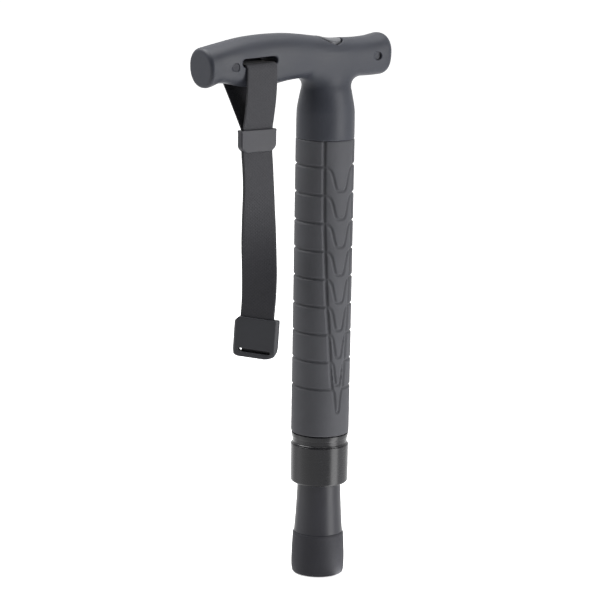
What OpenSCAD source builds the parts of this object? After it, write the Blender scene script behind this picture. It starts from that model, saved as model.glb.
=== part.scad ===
// Telescopic T-handle walking cane, stored at its shortest length.
// Millimetres. Origin: centre of the foot's underside, +Z up along the shaft,
// -X towards the nose of the handle, -Y towards the side with the screw recesses.

/* [Shaft] */
// Diameter of the rubber grip sleeve
sleeve_d = 34; // [33.4:0.1:35]
// Height where the grip sleeve starts
sleeve_bottom_z = 85.9; // [85:0.1:88]
// Height where the grip sleeve meets the neck
sleeve_top_z = 259.4; // [258:0.1:260]
// Distance from one tread groove to the next
tread_pitch = 16.27; // [15:0.01:16.4]
// Depth of a tread groove
tread_depth = 1; // [0.4:0.1:1.2]
// Diameter of the end collar
collar_d = 33.9; // [33.2:0.1:34.4]
// Height of the collar's lower edge
collar_bottom_z = 55.2; // [54:0.1:56]
// Height of the collar's upper edge
collar_top_z = 78.9; // [78:0.1:79.5]

/* [Telescope] */
// Outer diameter of the outer tube
outer_tube_d = 30; // [29.8:0.1:30.4]
// Bore of the outer tube
outer_bore_d = 27.6; // [27.4:0.1:27.8]
// Radial running gap between a bush and the tube that slides in it
slide_gap = 0.3; // [0.25:0.05:0.35]
// How far each stage slides out of the next larger one
stage_travel = 149; // [60:1:149]
// Wall of a bush
bush_wall = 0.8; // [0.7:0.05:0.85]
// Wall of a stage tube
stage_wall = 0.8; // [0.7:0.05:0.85]

/* [Tip] */
// Height of the rubber foot
foot_h = 25.3; // [24:0.1:26]
// Largest diameter of the rubber foot
foot_d = 31.2; // [30.8:0.1:32]
// Diameter of the boot where it leaves the foot
boot_bottom_d = 28.7; // [27.5:0.1:29]
// Diameter of the boot under the collar
boot_top_d = 25.4; // [24.5:0.1:26]

/* [Handle] */
// Length of the handle ahead of the shaft axis, to the nose face
nose_reach = 85.3; // [83:0.1:88]
// Half thickness of the handle
handle_half_w = 12; // [11.5:0.1:12.5]
// Diameter of the neck over the tube socket
neck_d = 33.6; // [33.4:0.1:34.2]
// Length of the strap slot
slot_len = 23.2; // [22:0.1:24]
// Height of the strap slot
slot_h = 4.6; // [4:0.1:5]
// Rise of the strap slot towards the heel, in degrees
slot_tilt = 2.5; // [0:0.5:4]

/* [Button] */
// Diameter of the release button
button_d = 15.9; // [15:0.1:16]
// How far the button goes down
button_travel = 3; // [1:0.1:3]

/* [Strap] */
// Width of the webbing
strap_w = 20; // [18:0.5:20.5]
// Thickness of one layer of webbing
strap_t = 1.1; // [0.9:0.1:1.2]
// Turn of the tail from the handle to the buckle, in degrees
strap_turn = -52; // [-60:1:0]
// Width of the keeper
keeper_w = 23.6; // [23:0.1:26]
// Width of the end buckle
buckle_w = 26.4; // [25:0.1:28]
// Height of the end buckle
buckle_h = 23.4; // [22:0.1:24]
// Lean of the buckle in its own plane, in degrees
buckle_lean = 3.3; // [0:0.1:5]

/* [Hidden] */
$fn = 64;

// Small overlap that lets a cut run past a face
cut = 0.5;

// Shaft
sleeve_r = sleeve_d / 2;
outer_r = outer_tube_d / 2;
bore_r = outer_bore_d / 2;
tread_grooves = 9;
tread_top_z = 244.6;
tread_w = 2.2;
tube_bottom_z = 66;
tube_top_z = 274;
flange_h = 1.5;

// Telescope: stage 1 is the largest. A stage's guide runs in the tube outside it.
guide_bottom_z = 246;
guide_top_z = 258;
guide_lip = 1;
ring_flange_h = 1.8;
ring_flange_r = 13.3;
ring_top_z = guide_bottom_z - stage_travel - 0.5;
bush_bottom_z = tube_bottom_z - flange_h;
function guide_r(n) = bore_r - slide_gap - (n - 1) * (slide_gap + bush_wall + stage_wall);
function stage_r(n) = guide_r(n) - bush_wall;
function stage_bore(n) = guide_r(n + 1) + slide_gap;
function ring_bore(n) = stage_r(n + 1) + slide_gap;
function flange_top(n) = bush_bottom_z - slide_gap - (n - 1) * (ring_flange_h + slide_gap);
stage_4_bore = stage_r(4) - stage_wall;
stack_bottom_z = flange_top(3) - ring_flange_h;

// Latch
post_r = 3;
post_top_z = 284.2;
housing_bottom_z = 261;
housing_top_z = 290;
housing_r = 11.6;
channel_half_w = 3.8;
shoe_half_w = 3.4;
shoe_bottom_z = 277;
shoe_outer_x = 7.4;
nose_z = 284.6;
spring_end_x = 10.8;
wedge_slope = 1 / 3;

// Button
button_r = button_d / 2;
button_bore_r = button_r + 0.35;
button_crown_r = 12.6;
button_crown_z = 303.6;
button_floor_z = 303.2;
button_flange_r = 9.3;
mechanism_r = 9.9;
stem_bottom_z = 289;

// Handle. Stations run from nose to heel: x, underside, top, half width.
nose_rim_r = 10.2;
handle_stations = [
    [-nose_reach, 292.6, 312.6, nose_rim_r],
    [0.5 - nose_reach, 291.7, 314, handle_half_w - 0.8],
    [1.8 - nose_reach, 291.3, 315.2, handle_half_w - 0.2],
    [-79, 292.4, 316.1, handle_half_w - 0.1],
    [-72, 293.6, 317.6, handle_half_w - 0.1],
    [-61, 292.2, 319.3, handle_half_w],
    [-50, 291.7, 320.2, handle_half_w],
    [-40, 292.2, 320.6, handle_half_w],
    [-29, 293.8, 320.2, handle_half_w],
    [-18, 294.9, 319, handle_half_w],
    [-4, 295, 317.1, handle_half_w],
    [6, 294.8, 316.3, handle_half_w],
    [20, 293.7, 316.5, handle_half_w],
    [30, 294.1, 317.2, handle_half_w],
    [35, 294.5, 317.5, handle_half_w - 0.3],
    [38, 295.8, 316.2, handle_half_w - 1.4],
    [39.4, 298, 314, handle_half_w - 3],
    [40, 300.5, 311.5, handle_half_w - 5.5]
];
ring_points = 32;
section_power = 2.3;
slot_x = -53.4;
slot_z = 306.6;
screws = [[-69.5, 304.2], [27.9, 306]];
recess_r = 2.4;
recess_floor_y = -6;
shank_r = 1.3;
insert_r = 2.1;
wall = 2.6;

// Strap
hinge = [-51.5, -6.3, 271];
tail_x = -50.3;
tail_y = -6.4;
tail_top_z = 269.8;
tail_bottom_z = 149.5;
turn_top_z = 243;
turn_bottom_z = 160;
lip_y = handle_half_w + 0.35 + strap_t / 2;
slot_route_z = slot_z - slot_h / 2 + 0.3 + strap_t / 2;
keeper_bottom_z = 255.5;
keeper_h = 12;
keeper_t = 4.6;
keeper_slot_t = 2.8;
buckle_bottom_z = 136.9;
buckle_t = 4.2;
buckle_pocket_t = 2.8;
buckle_slot_h = 2;
buckle_slot_depth = 3;
buckle_slot_z = 140.9;
peephole_x = -9;
peephole_r = 0.75;

// Colours
charcoal = [0.23, 0.235, 0.26];
handle_grey = [0.33, 0.335, 0.37];
gloss_black = [0.12, 0.12, 0.13];
rubber_grey = [0.2, 0.205, 0.22];
webbing_grey = [0.19, 0.19, 0.21];
metal = [0.7, 0.71, 0.73];

// ---- Helpers ----

function power_of(v, p) = sign(v) * pow(abs(v), p);
function smooth(t) = let (c = min(max(t, 0), 1)) c * c * (3 - 2 * c);

// Solid through a list of rings that all have the same number of points. Seen along the list,
// each ring runs clockwise.
module loft(rings) {
    count = len(rings[0]);
    last = len(rings) - 1;
    sides = [
        for (i = [0 : last - 1], j = [0 : count - 1], half = [0, 1])
            let (a = i * count + j, b = i * count + (j + 1) % count)
                half == 0 ? [a, b + count, b] : [a, a + count, b + count]
    ];
    first_cap = [for (j = [0 : count - 1]) j];
    last_cap = [for (j = [count - 1 : -1 : 0]) last * count + j];
    polyhedron([for (ring = rings, p = ring) p], concat(sides, [first_cap, last_cap]));
}

// Flat band of webbing: each row is its centre, its width direction and its face direction
module band(rows, thickness) {
    loft([
        for (row = rows)
            [for (c = [[1, 1], [-1, 1], [-1, -1], [1, -1]])
                row[0] + row[1] * c[0] * strap_w / 2 + row[2] * c[1] * thickness / 2]
    ]);
}

module tube(bottom, top, inner, outer) {
    translate([0, 0, bottom])
        difference() {
            cylinder(r = outer, h = top - bottom);
            translate([0, 0, -cut])
                cylinder(r = inner, h = top - bottom + 2 * cut);
        }
}

// Coil spring shown as a stack of rings on one helix-like pitch, held by its end coils
module spring(length, mean_r, wire_r, coils) {
    pitch = (length - 2 * wire_r) / (coils - 1);
    for (i = [0 : coils - 1])
        translate([0, 0, wire_r + i * pitch])
            rotate_extrude()
                translate([mean_r, 0])
                    circle(r = wire_r, $fn = 24);
    translate([mean_r, 0, wire_r])
        cylinder(r = wire_r * 0.8, h = length - 2 * wire_r);
}

module round_slot(length, height, depth) {
    linear_extrude(height = depth, center = true)
        union() {
            square([length - height, height], center = true);
            for (side = [-1, 1])
                translate([side * (length - height) / 2, 0])
                    circle(r = height / 2);
        }
}

// ---- Handle ----

// Half of a cross-section on the +Y side, from the underside to the top
function half_ring(s) =
    let (mid = (s[1] + s[2]) / 2, half = (s[2] - s[1]) / 2)
        [for (k = [0 : ring_points / 2])
            let (a = -90 + 360 * k / ring_points)
                [s[0], s[3] * power_of(cos(a), 2 / section_power),
                 mid + half * power_of(sin(a), 2 / section_power)]];

module half_neck() {
    rotate_extrude(angle = 180)
        polygon([
            [0, sleeve_top_z], [neck_d / 2, sleeve_top_z], [neck_d / 2, 272.5],
            [16.6, 275.5], [16.1, 279], [15.4, 283], [14.8, 286.5], [14.3, 289],
            [13.6, 292.5], [12.4, 297], [11, 301], [0, 301]
        ]);
    intersection() {
        rotate_extrude(angle = 180)
            polygon([
                [0, 287], [14.2, 287], [14.7, 290], [16.2, 292.6], [18.6, 294.4],
                [22, 295.6], [22, 299], [0, 299]
            ]);
        translate([-30, -1, 280])
            cube([60, handle_half_w + 0.2, 30]);
    }
}

// The half of the handle on the +Y side, still solid
module half_handle() {
    loft([for (s = handle_stations) half_ring(s)]);
    half_neck();
}

// Everything hollow in the handle, apart from the screw bores
module handle_hollow() {
    // Socket of the outer tube, then the room for the latch and the button
    translate([0, 0, sleeve_top_z - cut])
        cylinder(r = outer_r, h = tube_top_z - sleeve_top_z + cut);
    translate([0, 0, tube_top_z - cut])
        cylinder(r = housing_r + 0.3, h = housing_top_z - tube_top_z + cut);
    translate([0, 0, housing_top_z - cut])
        cylinder(r = mechanism_r, h = button_floor_z - housing_top_z + cut);
    translate([0, 0, button_floor_z - cut])
        cylinder(r = button_bore_r, h = 30);
    // Lightening pockets beside the mechanism
    for (pocket = [[-25.5, 20], [19.5, 13]])
        translate([pocket[0], 0, 305])
            cube([pocket[1], 2 * (handle_half_w - wall - 1), 13], center = true);
    // Strap slot
    translate([slot_x, 0, slot_z])
        rotate([90, -slot_tilt, 0])
            round_slot(slot_len, slot_h, 4 * handle_half_w);
}

module along_y(x, z, y) {
    translate([x, y, z])
        rotate([-90, 0, 0])
            children();
}

module handle_front_shell() {
    color(handle_grey)
        difference() {
            mirror([0, 1, 0])
                half_handle();
            handle_hollow();
            for (s = screws) {
                along_y(s[0], s[1], -30)
                    cylinder(r = recess_r, h = 30 + recess_floor_y);
                along_y(s[0], s[1], recess_floor_y - cut)
                    cylinder(r = shank_r, h = 30);
            }
        }
}

module handle_back_shell() {
    color(handle_grey)
        difference() {
            half_handle();
            handle_hollow();
            for (s = screws)
                along_y(s[0], s[1], -cut)
                    cylinder(r = insert_r, h = 7 + cut);
        }
}

module handle_screws() {
    color(metal)
        for (s = screws) {
            along_y(s[0], s[1], recess_floor_y - 1.8)
                difference() {
                    cylinder(r = recess_r - 0.2, h = 1.8);
                    for (turn = [0, 90])
                        rotate([0, 0, turn])
                            cube([2.6, 0.7, 2], center = true);
                }
            along_y(s[0], s[1], recess_floor_y)
                cylinder(r = shank_r, h = 6 - recess_floor_y);
        }
}

module screw_inserts() {
    color([0.75, 0.6, 0.3])
        for (s = screws)
            along_y(s[0], s[1], 0.3)
                difference() {
                    cylinder(r = insert_r, h = 6.7);
                    translate([0, 0, -cut])
                        cylinder(r = shank_r, h = 10);
                }
}

module screw_plug() {
    color(handle_grey)
        along_y(screws[0][0], screws[0][1], 0.9 - handle_half_w)
            cylinder(r = recess_r, h = 2);
}

// ---- Shaft ----

module outer_tube() {
    color(gloss_black)
        tube(tube_bottom_z, tube_top_z, bore_r, outer_r);
}

module grip_sleeve() {
    color(rubber_grey)
        difference() {
            tube(sleeve_bottom_z, sleeve_top_z, outer_r, sleeve_r);
            for (i = [0 : tread_grooves - 1])
                tube(tread_top_z - i * tread_pitch - tread_w / 2,
                     tread_top_z - i * tread_pitch + tread_w / 2,
                     sleeve_r - tread_depth, sleeve_r + 1);
        }
}

module spacer_ring() {
    color(gloss_black)
        rotate_extrude()
            polygon([
                [outer_r, collar_top_z], [16.5, collar_top_z], [16.4, collar_top_z + 0.6],
                [15.95, collar_top_z + 1.3], [15.95, collar_top_z + 2.2],
                [16.4, sleeve_bottom_z - 2.4], [16.7, sleeve_bottom_z - 1],
                [16.65, sleeve_bottom_z], [outer_r, sleeve_bottom_z]
            ]);
}

module end_collar() {
    mouth_r = ring_flange_r + 0.35;
    edge_w = 2.2;
    edge_h = 4.2;
    color(gloss_black)
        rotate_extrude()
            polygon(concat(
                [[mouth_r, collar_bottom_z]],
                [for (a = [-90 : 15 : 0])
                    [collar_d / 2 - edge_w + edge_w * cos(a), collar_bottom_z + edge_h * (1 + sin(a))]],
                [[collar_d / 2, collar_top_z], [outer_r, collar_top_z],
                 [outer_r, bush_bottom_z], [mouth_r, bush_bottom_z]]
            ));
}

module outer_bush() {
    color([0.85, 0.85, 0.8])
        union() {
            tube(bush_bottom_z, tube_bottom_z, stage_r(1) + slide_gap, outer_r);
            tube(tube_bottom_z, ring_top_z, stage_r(1) + slide_gap, bore_r);
        }
}

// ---- Latch ----

module latch_housing() {
    color([0.3, 0.3, 0.32])
        difference() {
            union() {
                translate([0, 0, housing_bottom_z])
                    cylinder(r = bore_r - 0.05, h = tube_top_z - housing_bottom_z);
                translate([0, 0, tube_top_z])
                    cylinder(r = housing_r, h = housing_top_z - tube_top_z);
            }
            translate([0, 0, housing_bottom_z - cut])
                cylinder(r = post_r + 0.4, h = 40);
            translate([-1, -channel_half_w, shoe_bottom_z - 0.4])
                cube([spring_end_x + 1, 2 * channel_half_w, 30]);
        }
}

module brake_shoe() {
    color([0.55, 0.3, 0.2])
        difference() {
            rotate([90, 0, 0])
                linear_extrude(height = 2 * shoe_half_w, center = true)
                    polygon([
                        [post_r - 1, shoe_bottom_z], [shoe_outer_x, shoe_bottom_z],
                        [shoe_outer_x, stem_bottom_z], [0.1 + button_travel * wedge_slope, stem_bottom_z],
                        [0.1, stem_bottom_z - button_travel], [0.1, nose_z], [post_r - 1, nose_z]
                    ]);
            translate([0, 0, shoe_bottom_z - cut])
                cylinder(r = post_r + 0.3, h = nose_z - shoe_bottom_z + cut);
        }
}

module brake_spring() {
    color(metal)
        translate([shoe_outer_x, 0, 282])
            rotate([0, 90, 0])
                spring(spring_end_x - shoe_outer_x, 2, 0.3, 4);
}

module release_button() {
    dish_r = 26;
    dish_depth = 1.3;
    color(handle_grey)
        difference() {
            union() {
                intersection() {
                    translate([0, 0, button_floor_z - 1])
                        cylinder(r = button_r, h = 20);
                    translate([-20, 0, button_crown_z])
                        rotate([0, 90, 0])
                            cylinder(r = button_crown_r, h = 40);
                }
                translate([0, 0, button_floor_z - 2.4])
                    cylinder(r = button_flange_r, h = 2.1);
            }
            translate([0, 0, button_crown_z + button_crown_r - dish_depth + dish_r])
                sphere(r = dish_r);
        }
}

module button_stem() {
    tip_h = (post_r - 0.8) / wedge_slope;
    color([0.75, 0.75, 0.72])
        union() {
            translate([0, 0, stem_bottom_z])
                cylinder(r1 = 0.8, r2 = post_r, h = tip_h);
            translate([0, 0, stem_bottom_z + tip_h])
                cylinder(r = post_r, h = button_floor_z - 2.4 - stem_bottom_z - tip_h);
        }
}

module button_spring() {
    color(metal)
        translate([0, 0, housing_top_z])
            spring(button_floor_z - 2.4 - housing_top_z, 6.4, 0.45, 6);
}

// ---- Telescoping stages ----

module stage_tube(n, bore) {
    bottom = n < 4 ? flange_top(n) : 31;
    color(metal)
        tube(bottom, guide_top_z, bore, stage_r(n));
}

module stage_guide(n, lip_bore) {
    color([0.85, 0.85, 0.8])
        union() {
            tube(guide_bottom_z, guide_top_z, stage_r(n), guide_r(n));
            tube(guide_top_z, guide_top_z + guide_lip, lip_bore, guide_r(n));
        }
}

module stage_end_ring(n) {
    color(gloss_black)
        union() {
            tube(flange_top(n) - ring_flange_h, flange_top(n), ring_bore(n), ring_flange_r);
            tube(flange_top(n), ring_top_z, ring_bore(n), stage_bore(n));
        }
}

module stage_1_tube() { stage_tube(1, stage_bore(1)); }
module stage_1_guide() { stage_guide(1, stage_bore(1)); }
module stage_1_end_ring() { stage_end_ring(1); }
module stage_2_tube() { stage_tube(2, stage_bore(2)); }
module stage_2_guide() { stage_guide(2, stage_bore(2)); }
module stage_2_end_ring() { stage_end_ring(2); }
module stage_3_tube() { stage_tube(3, stage_bore(3)); }
module stage_3_guide() { stage_guide(3, stage_bore(3)); }
module stage_3_end_ring() { stage_end_ring(3); }
module stage_4_tube() { stage_tube(4, stage_4_bore); }
module stage_4_guide() { stage_guide(4, stage_4_bore); }

module latch_post() {
    color(metal)
        union() {
            translate([0, 0, guide_bottom_z])
                cylinder(r = stage_4_bore, h = guide_top_z + guide_lip - guide_bottom_z);
            translate([0, 0, guide_top_z + guide_lip])
                cylinder(r = post_r, h = post_top_z - guide_top_z - guide_lip);
        }
}

// ---- Tip ----

module stage_4_plug() {
    color(metal)
        tube(31, 46, 1.8, stage_4_bore);
}

module tip_boot() {
    spigot_r = 9;
    spigot_z = 8;
    // The flare follows a curve that is steep at the foot and slows towards the collar
    function flare(t) = boot_top_d / 2 + (boot_bottom_d - boot_top_d) / 2 * pow(1 - t, 2.6);
    flare_top_z = collar_bottom_z + 0.5;
    color(charcoal)
        difference() {
            rotate_extrude()
                polygon(concat(
                    [[0, spigot_z], [spigot_r, spigot_z], [spigot_r, foot_h]],
                    [for (t = [0 : 0.1 : 1]) [flare(t), foot_h + t * (flare_top_z - foot_h)]],
                    [[boot_top_d / 2, stack_bottom_z - slide_gap - 0.6],
                     [boot_top_d / 2 - 0.6, stack_bottom_z - slide_gap],
                     [0, stack_bottom_z - slide_gap]]
                ));
            translate([0, 0, 31])
                cylinder(r = stage_r(4), h = 60);
            translate([0, 0, spigot_z - cut])
                cylinder(r = 2.2, h = 40);
            translate([0, 0, spigot_z - cut])
                cylinder(r = 4.4, h = 3 + cut);
        }
}

module tip_screw() {
    color(metal)
        union() {
            translate([0, 0, 8.6])
                difference() {
                    cylinder(r = 3.8, h = 2.4);
                    translate([0, 0, -cut])
                        cylinder(r = 1.6, h = 1.6 + cut, $fn = 6);
                }
            translate([0, 0, 11])
                cylinder(r = 1.8, h = 30);
        }
}

module foot_washer() {
    color(metal)
        tube(6.6, 8, 4.6, 8.9);
}

module rubber_foot() {
    flat_r = 13.2;
    round_w = 2.1;
    round_h = 2.8;
    groove_w = 1.5;
    groove_depth = 1.4;
    foot_r = foot_d / 2;
    color(rubber_grey)
        difference() {
            rotate_extrude()
                polygon(concat(
                    [[0, 0], [flat_r, 0]],
                    [for (a = [-75 : 15 : 0])
                        [flat_r + round_w * cos(a), round_h * (1 + sin(a))]],
                    [[foot_r, 7.6], [foot_r - 0.1, 12], [foot_r - 0.35, 18], [foot_r - 0.7, 22.5],
                     [foot_r - 0.9, foot_h - 0.5], [foot_r - 1.2, foot_h], [0, foot_h]]
                ));
            translate([0, 0, 8])
                cylinder(r = 9, h = 30);
            translate([0, 0, 6.6])
                cylinder(r = 8.9, h = 2);
            for (r = [5, 8.6])
                tube(-cut, groove_depth, r, r + groove_w);
        }
}

// ---- Strap ----

// Upper loop: up the front, through the slot and down the back
strap_route = [
    [-51.6, -7.75, 272.2], [-52.6, -lip_y + 0.3, 294], [slot_x, -lip_y, 299.5],
    [slot_x, -lip_y + 0.2, slot_route_z - 1.8], [slot_x, -lip_y + 0.9, slot_route_z - 0.5],
    [slot_x, -lip_y + 2.2, slot_route_z], [slot_x, 0, slot_route_z],
    [slot_x, lip_y - 2.2, slot_route_z], [slot_x, lip_y - 0.9, slot_route_z - 0.5],
    [slot_x, lip_y - 0.2, slot_route_z - 1.8], [slot_x, lip_y, 299.5],
    [-53.2, lip_y - 1.6, 295], [-51.6, -3.9, 272.2]
];

function unit(v) = v / norm(v);
function route_face(i) =
    let (last = len(strap_route) - 1,
         d = unit(strap_route[min(i + 1, last)] - strap_route[max(i - 1, 0)]))
        unit([0, d[2], -d[1]]);

// The band lies along the slot where it passes through the handle
function route_width(i) = strap_route[i][2] > 299
    ? [cos(slot_tilt), 0, sin(slot_tilt)]
    : [1, 0, 0];

module strap_upper() {
    color(webbing_grey)
        band([for (i = [0 : len(strap_route) - 1])
            [strap_route[i], route_width(i), route_face(i)]], strap_t);
}

function tail_angle(z) = strap_turn * smooth((turn_top_z - z) / (turn_top_z - turn_bottom_z));
function tail_place(z) =
    let (t = (hinge[2] - z) / (hinge[2] - buckle_bottom_z))
        [hinge[0] + (tail_x - hinge[0]) * t, hinge[1] + (tail_y - hinge[1]) * t, z];

module strap_tail() {
    rows = 32;
    color(webbing_grey)
        band([for (i = [0 : rows])
            let (z = tail_bottom_z + (tail_top_z - tail_bottom_z) * i / rows, a = tail_angle(z))
                [tail_place(z), [cos(a), sin(a), 0], [-sin(a), cos(a), 0]]], 2 * strap_t);
}

module strap_keeper() {
    corner = 2.2;
    color(handle_grey)
        translate([tail_place(keeper_bottom_z + keeper_h / 2)[0],
                   tail_place(keeper_bottom_z + keeper_h / 2)[1], keeper_bottom_z])
            difference() {
                rotate([90, 0, 0])
                    linear_extrude(height = keeper_t, center = true)
                        polygon([
                            [corner - keeper_w / 2, 0], [keeper_w / 2 - corner, 0],
                            [keeper_w / 2, corner], [keeper_w / 2, keeper_h],
                            [-keeper_w / 2, keeper_h], [-keeper_w / 2, corner]
                        ]);
                translate([0, 0, keeper_h / 2])
                    cube([strap_w + 1, keeper_slot_t, keeper_h + 2], center = true);
            }
}

// Turns its children about the middle of the buckle, in the buckle's plane
module leaning() {
    translate([0, 0, buckle_h / 2])
        rotate([0, buckle_lean, 0])
            translate([0, 0, -buckle_h / 2])
                children();
}

module end_buckle() {
    corner = 3;
    chamfer = 2.4;
    half = buckle_w / 2;
    place = tail_place(tail_bottom_z);
    color(charcoal)
        translate([place[0], place[1], buckle_bottom_z])
            rotate([0, 0, strap_turn])
                difference() {
                    leaning()
                        rotate([90, 0, 0])
                            linear_extrude(height = buckle_t, center = true)
                                polygon([
                                    [corner - half, 0], [half - corner, 0], [half - 0.9, 0.9],
                                    [half, corner], [half, buckle_h], [chamfer - half, buckle_h],
                                    [-half, buckle_h - chamfer], [-half, corner], [0.9 - half, 0.9]
                                ]);
                    translate([0, 0, tail_bottom_z - buckle_bottom_z - 0.3 + 10])
                        cube([strap_w + 0.8, buckle_pocket_t, 20], center = true);
                    leaning()
                        translate([0, -buckle_t / 2, buckle_slot_z - buckle_bottom_z])
                            rotate([90, 0, 0])
                                round_slot(19.5, buckle_slot_h, 2 * buckle_slot_depth);
                    leaning()
                        translate([peephole_x, 0, buckle_slot_z - buckle_bottom_z])
                            rotate([90, 0, 0])
                                cylinder(r = peephole_r, h = 2 * buckle_t, center = true, $fn = 32);
                }
}

handle_front_shell();
handle_back_shell();
handle_screws();
screw_inserts();
screw_plug();
outer_tube();
grip_sleeve();
spacer_ring();
end_collar();
outer_bush();
latch_housing();
brake_shoe();
brake_spring();
release_button();
button_stem();
button_spring();
stage_1_tube();
stage_1_guide();
stage_1_end_ring();
stage_2_tube();
stage_2_guide();
stage_2_end_ring();
stage_3_tube();
stage_3_guide();
stage_3_end_ring();
stage_4_tube();
stage_4_guide();
latch_post();
stage_4_plug();
tip_boot();
tip_screw();
foot_washer();
rubber_foot();
strap_upper();
strap_tail();
end_buckle();
strap_keeper();
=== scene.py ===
import math

import bmesh
import bpy
import numpy as np
from mathutils import Matrix, Vector


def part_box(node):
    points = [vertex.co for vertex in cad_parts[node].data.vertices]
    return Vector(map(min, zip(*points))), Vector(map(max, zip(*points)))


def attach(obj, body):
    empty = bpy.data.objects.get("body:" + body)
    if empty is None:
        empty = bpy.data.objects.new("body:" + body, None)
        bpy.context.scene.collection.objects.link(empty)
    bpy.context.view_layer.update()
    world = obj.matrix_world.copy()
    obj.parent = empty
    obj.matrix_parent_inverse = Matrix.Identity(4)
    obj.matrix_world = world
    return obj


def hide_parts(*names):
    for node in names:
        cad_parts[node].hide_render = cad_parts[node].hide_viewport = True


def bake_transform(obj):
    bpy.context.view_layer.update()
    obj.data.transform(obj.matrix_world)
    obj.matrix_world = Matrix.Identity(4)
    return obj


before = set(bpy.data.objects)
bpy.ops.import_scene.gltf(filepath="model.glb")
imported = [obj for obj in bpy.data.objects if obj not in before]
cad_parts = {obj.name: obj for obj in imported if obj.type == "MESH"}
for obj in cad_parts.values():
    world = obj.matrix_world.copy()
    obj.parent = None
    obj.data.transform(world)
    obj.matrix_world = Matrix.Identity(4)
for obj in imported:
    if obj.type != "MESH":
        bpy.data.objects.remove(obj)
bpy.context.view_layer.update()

# Shapes are worked out in millimetres and meshes are written in metres.
MM = 0.001


def node_box(node):
    """Lowest and highest corner of a CAD node, in millimetres."""
    low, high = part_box(node)
    return np.array(low) / MM, np.array(high) / MM


SLEEVE_LOW, SLEEVE_HIGH = node_box("grip_sleeve")
COLLAR_LOW, COLLAR_HIGH = node_box("end_collar")
RING_LOW, RING_HIGH = node_box("spacer_ring")
HANDLE_LOW, HANDLE_HIGH = node_box("handle_front_shell")
BUTTON_LOW, BUTTON_HIGH = node_box("release_button")
KEEPER_LOW, KEEPER_HIGH = node_box("strap_keeper")
_, TUBE_HIGH = node_box("outer_tube")


# ---- Camera ----

def look_from(azimuth, elevation, distance, target, roll):
    """Camera placement: azimuth 0 looks along +Y, with +X to the right."""
    a, e = math.radians(azimuth), math.radians(elevation)
    back = Vector((math.sin(a) * math.cos(e), -math.cos(a) * math.cos(e), math.sin(e)))
    right = Vector((math.cos(a), math.sin(a), 0))
    up = back.cross(right)
    turn = math.radians(roll)
    rolled_right = right * math.cos(turn) + up * math.sin(turn)
    rolled_up = up * math.cos(turn) - right * math.sin(turn)
    pose = Matrix((rolled_right, rolled_up, back)).transposed().to_4x4()
    pose.translation = Vector(target) + back * distance
    return pose, right


def make_camera():
    azimuth, elevation, distance, roll = -35, 11.7, 1.45, 0.95
    middle_z, left_of_shaft = 0.1639, 0.0129
    data = bpy.data.cameras.new("camera")
    camera = bpy.data.objects.new("camera", data)
    bpy.context.scene.collection.objects.link(camera)
    data.sensor_width = 36
    data.lens = 149.6
    _, right = look_from(azimuth, elevation, distance, (0, 0, middle_z), 0)
    target = Vector((0, 0, middle_z)) - right * left_of_shaft
    camera.matrix_world, _ = look_from(azimuth, elevation, distance, target, roll)
    bpy.context.scene.camera = camera


make_camera()


# ---- Mesh helpers ----

def new_piece(name, points, faces, body, material, replaces=(), sharp=40):
    """A smooth-shaded mesh piece from points in millimetres, riding on a body."""
    mesh = bpy.data.meshes.new(name)
    mesh.from_pydata((np.asarray(points) * MM).tolist(), [], [list(f) for f in faces])
    mesh.validate()
    piece = bpy.data.objects.new(name, mesh)
    bpy.context.scene.collection.objects.link(piece)
    bm = bmesh.new()
    bm.from_mesh(mesh)
    bmesh.ops.recalc_face_normals(bm, faces=bm.faces)
    bm.to_mesh(mesh)
    bm.free()
    mesh.shade_smooth()
    mesh.set_sharp_from_angle(angle=math.radians(sharp))
    mesh.materials.append(material)
    if body:
        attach(piece, body)
    if replaces:
        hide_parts(*replaces)
    return piece


def grid_faces(rows, columns, closed_columns=True, closed_rows=False):
    """Quads of a grid of points stored row by row."""
    last_column = columns if closed_columns else columns - 1
    last_row = rows if closed_rows else rows - 1
    i, j = np.meshgrid(np.arange(last_row), np.arange(last_column), indexing="ij")
    i2, j2 = (i + 1) % rows, (j + 1) % columns
    corners = [i * columns + j, i * columns + j2, i2 * columns + j2, i2 * columns + j]
    return np.stack([c.ravel() for c in corners], axis=1)


def lathe(profile, segments=160):
    """Closed ring of revolution about Z from an outline of (radius, z) points."""
    angle = np.linspace(0, 2 * np.pi, segments, endpoint=False)
    outline = np.asarray(profile, float)
    x = outline[:, :1] * np.cos(angle)
    y = outline[:, :1] * np.sin(angle)
    z = np.repeat(outline[:, 1:], segments, axis=1)
    points = np.stack([x, y, z], axis=-1).reshape(-1, 3)
    return points, grid_faces(len(outline), segments, closed_rows=True)


def rounded(outline, radius, steps=6):
    """The closed outline with its corners rounded. radius is one number or one per corner."""
    points = [np.array(p, float) for p in outline]
    radii = radius if hasattr(radius, "__len__") else [radius] * len(points)
    result = []
    for k, corner in enumerate(points):
        before, after = points[k - 1] - corner, points[(k + 1) % len(points)] - corner
        length_a, length_b = np.linalg.norm(before), np.linalg.norm(after)
        reach = min(radii[k], 0.45 * length_a, 0.45 * length_b)
        if reach <= 0:
            result.append(corner)
            continue
        a, b = corner + before / length_a * reach, corner + after / length_b * reach
        for t in np.linspace(0, 1, steps):
            result.append((1 - t) ** 2 * a + 2 * t * (1 - t) * corner + t * t * b)
    return np.array(result)


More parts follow.
